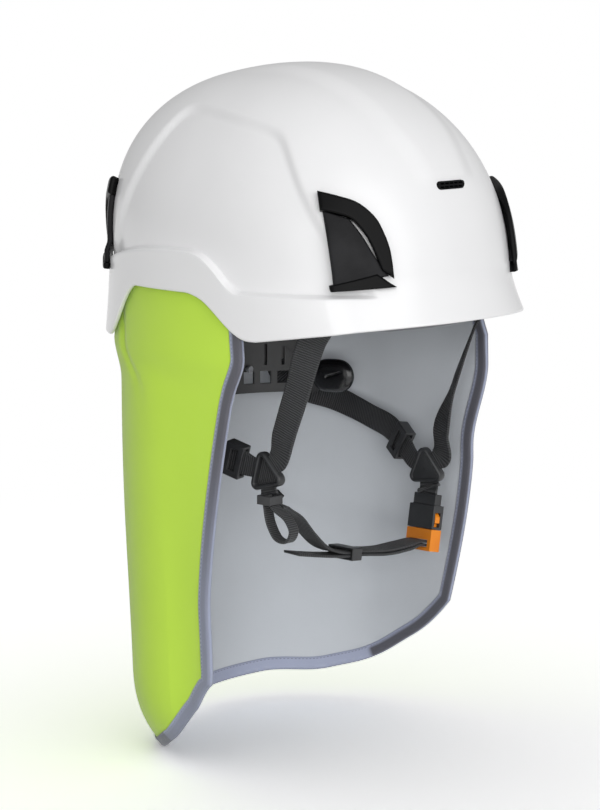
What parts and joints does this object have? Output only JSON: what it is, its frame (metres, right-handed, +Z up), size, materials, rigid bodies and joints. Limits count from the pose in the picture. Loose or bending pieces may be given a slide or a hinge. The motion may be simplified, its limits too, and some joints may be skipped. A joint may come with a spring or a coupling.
{
  "type": "safety helmet with neck shade",
  "caption": "White work helmet with lamp clips, four-point chin harness, side-release buckle, dial-sized headband and a lime cloth shade hanging behind the neck",
  "frame": {"origin": "middle of the head, in the plane of the headband; the mount named head", "axes": "+X to the wearer's left, -Y to the front, +Z up"},
  "size_m": [0.2164, 0.2691, 0.4293],
  "materials": {
    "shell": "gloss white moulding",
    "clip": "satin black moulding",
    "liner": "expanded foam",
    "pad": "padded knit",
    "band": "satin dark grey",
    "cradle": "gloss black",
    "steel": "bright steel",
    "brass_gear": "machined",
    "webbing": "ribbed woven webbing",
    "harness_plastic": "satin dark grey",
    "buckle_dark": "satin grey",
    "buckle_orange": "satin orange",
    "lime_cloth": "bright lime woven cloth",
    "grey_cloth": "grey woven lining",
    "binding": "grey-blue folded tape, stitched"
  },
  "bodies": {
    "helmet": {"outer_shell": "shell", "eps_liner": "liner", "front_vent_insert": "clip", "lamp_clip_front_right": "clip", "lamp_clip_front_left": "clip", "lamp_clip_rear_right": "clip", "lamp_clip_rear_left": "clip", "crown_pads": "pad", "headband": "band", "brow_pad": "pad", "strap_anchor_front_right": "band", "strap_anchor_front_left": "band", "strap_anchor_rear_right": "band", "strap_anchor_rear_left": "band", "front_strap_right": "webbing", "front_strap_left": "webbing", "rear_strap_right": "webbing", "rear_strap_left": "webbing", "strap_divider_right": "harness_plastic", "strap_divider_left": "harness_plastic", "strap_slider_right": "harness_plastic", "strap_slider_left": "harness_plastic", "side_loop": "webbing", "side_loop_sleeve": "harness_plastic", "chin_strap": "webbing", "chin_strap_tail": "webbing", "buckle_hanger": "webbing", "buckle_socket": "buckle_dark", "buckle_plug": "buckle_orange", "neck_shade_outer": "lime_cloth", "neck_shade_lining": "grey_cloth", "neck_shade_binding": "binding", "neck_shade_pads": "pad"},
    "nape_pivots": {"nape_pivot_pin_right": "steel", "nape_pivot_pin_left": "steel"},
    "nape_cradle": {"nape_cradle": "cradle", "nape_pad_right": "cradle", "nape_pad_left": "cradle", "adjuster_housing": "band", "adjuster_screws": "steel"},
    "size_knob": {"size_knob": "band", "pinion": "brass_gear"},
    "band_tail_left": {"band_tail_left": "band"},
    "band_tail_right": {"band_tail_right": "band"},
    "buckle_prong_front": {"buckle_prong_front": "buckle_orange"},
    "buckle_prong_rear": {"buckle_prong_rear": "buckle_orange"},
    "strap_keeper": {"strap_keeper": "harness_plastic"}
  },
  "joints": [
    {"name": "nape_tilt", "type": "hinge", "parent": "helmet", "child": "nape_pivots", "pos_m": [0, 0.007, -0.012], "axis": [1, 0, 0], "range_deg": [-8, 8]},
    {"name": "nape_slide", "type": "slide", "parent": "nape_pivots", "child": "nape_cradle", "axis": [0, -1, 0], "range_m": [-0.0039, 0.0058]},
    {"name": "knob_turn", "type": "hinge", "parent": "nape_cradle", "child": "size_knob", "pos_m": [0, 0.095, -0.06], "axis": [0, -1, 0], "range_deg": [-53, 78]},
    {"name": "tail_left_turn", "type": "hinge", "parent": "nape_cradle", "child": "band_tail_left", "pos_m": [0, 0.007, -0.06], "axis": [0, 0, 1], "range_deg": [-3.2, 4.7]},
    {"name": "tail_right_turn", "type": "hinge", "parent": "nape_cradle", "child": "band_tail_right", "pos_m": [0, 0.007, -0.06], "axis": [0, 0, 1], "range_deg": [-4.7, 3.2]},
    {"name": "prong_front_press", "type": "hinge", "parent": "helmet", "child": "buckle_prong_front", "pos_m": [0.0601, -0.05215, -0.16991], "axis": [-0.963, 0.1926, 0.1887], "range_deg": [0, 7], "stiffness_Nm_per_rad": 0.1},
    {"name": "prong_rear_press", "type": "hinge", "parent": "helmet", "child": "buckle_prong_rear", "pos_m": [0.06277, -0.03802, -0.17072], "axis": [0.963, -0.1926, -0.1887], "range_deg": [0, 7], "stiffness_Nm_per_rad": 0.1},
    {"name": "keeper_slide", "type": "slide", "parent": "helmet", "child": "strap_keeper", "axis": [0.995, 0, -0.0995], "range_m": [-0.003, 0.003]}
  ],
  "couplings": [
    {"joint": "knob_turn", "follows": "nape_slide", "rad_per_m": 222.22},
    {"joint": "tail_left_turn", "follows": "nape_slide", "rad_per_m": 12.938},
    {"joint": "tail_right_turn", "follows": "nape_slide", "rad_per_m": -12.596}
  ]
}
